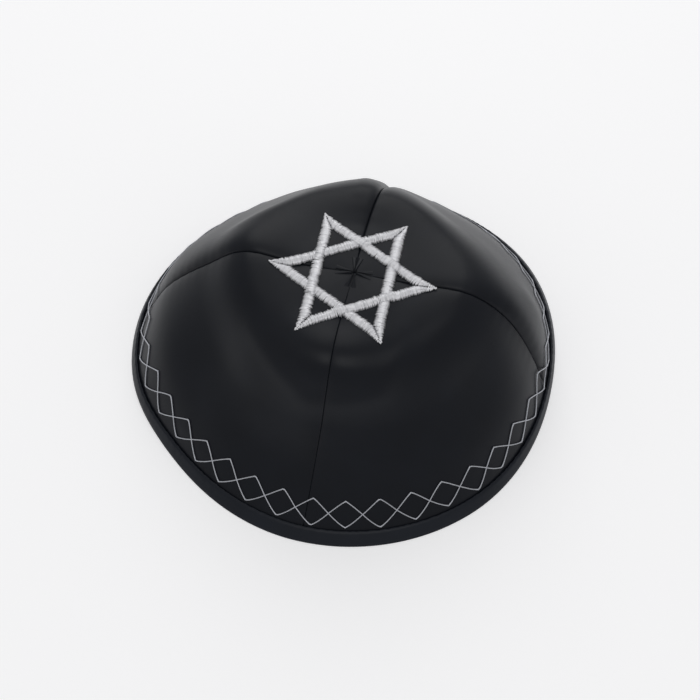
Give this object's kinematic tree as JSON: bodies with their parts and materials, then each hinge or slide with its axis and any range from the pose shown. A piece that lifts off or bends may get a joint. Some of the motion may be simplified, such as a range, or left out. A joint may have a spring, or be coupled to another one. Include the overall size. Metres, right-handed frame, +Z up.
{
  "type": "embroidered kippah",
  "caption": "Round brimless satin skullcap of sewn gores with a bound rim and a raised six-pointed star embroidered on the crown, lying crown up.",
  "frame": {"origin": "on the surface the cap rests on, under the middle of its box", "axes": "+Z up through the crown, +X along the right seam, -Y along the front seam"},
  "size_m": [0.169, 0.1702, 0.0605],
  "materials": {
    "dark_satin": "dark navy-black polyester satin, soft sheen",
    "binding_satin": "folded satin bias binding, slightly lighter than the panels",
    "silver_thread": "pale silver metallic embroidery thread, satin stitched"
  },
  "bodies": {
    "root": {"panel_back_left": "dark_satin", "panel_back_right": "dark_satin", "panel_front_left": "dark_satin", "panel_front_right": "dark_satin", "rim_binding": "binding_satin", "star_embroidery": "silver_thread"}
  },
  "joints": []
}
